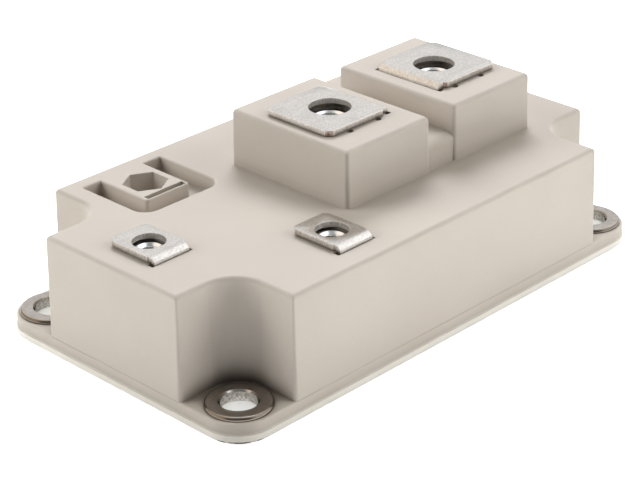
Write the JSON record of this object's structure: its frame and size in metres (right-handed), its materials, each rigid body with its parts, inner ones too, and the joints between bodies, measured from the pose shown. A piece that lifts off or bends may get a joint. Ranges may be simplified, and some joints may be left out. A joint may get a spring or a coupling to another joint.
{
  "type": "power semiconductor module",
  "caption": "Single-switch power semiconductor module: moulded housing on a metal baseplate, folded screw terminals on raised blocks and small screw terminals beside them.",
  "frame": {"origin": "centre of the baseplate's underside, the face that goes on the heat sink", "axes": "+X along the long side, from the small terminals' end to the second main terminal; +Z away from the heat sink"},
  "size_m": [0.1064, 0.0614, 0.0355],
  "materials": {
    "housing_plastic": "matte, finely grained",
    "baseplate_nickel": "nickel-plated, satin",
    "bush_nickel": "nickel-plated, bright",
    "terminal_tin": "tinned, satin",
    "nut_zinc": "zinc-plated, bright",
    "copper": "bare copper",
    "substrate_ceramic": "sintered, matte",
    "chip_silicon": "polished",
    "wire_aluminium": "drawn wire",
    "gel": "clear soft gel"
  },
  "bodies": {
    "root": {"housing": "housing_plastic", "baseplate": "baseplate_nickel", "collector_busbar": "terminal_tin", "emitter_busbar": "terminal_tin", "gate_terminal": "terminal_tin", "aux_emitter_terminal": "terminal_tin", "m6_nuts": "nut_zinc", "m4_nuts": "nut_zinc", "mounting_bush_1": "bush_nickel", "mounting_bush_2": "bush_nickel", "mounting_bush_3": "bush_nickel", "mounting_bush_4": "bush_nickel", "back_copper_1": "copper", "ceramic_1": "substrate_ceramic", "collector_track_1": "copper", "emitter_track_1": "copper", "gate_track_1": "copper", "igbt_chip_1_1": "chip_silicon", "diode_chip_1_1": "chip_silicon", "igbt_chip_1_2": "chip_silicon", "diode_chip_1_2": "chip_silicon", "bond_wires_1": "wire_aluminium", "back_copper_2": "copper", "ceramic_2": "substrate_ceramic", "collector_track_2": "copper", "emitter_track_2": "copper", "gate_track_2": "copper", "igbt_chip_2_1": "chip_silicon", "diode_chip_2_1": "chip_silicon", "igbt_chip_2_2": "chip_silicon", "diode_chip_2_2": "chip_silicon", "bond_wires_2": "wire_aluminium", "collector_link": "copper", "emitter_link": "copper", "gate_link": "copper", "gate_lead": "copper", "aux_emitter_lead": "copper", "silicone_gel": "gel"}
  },
  "joints": []
}
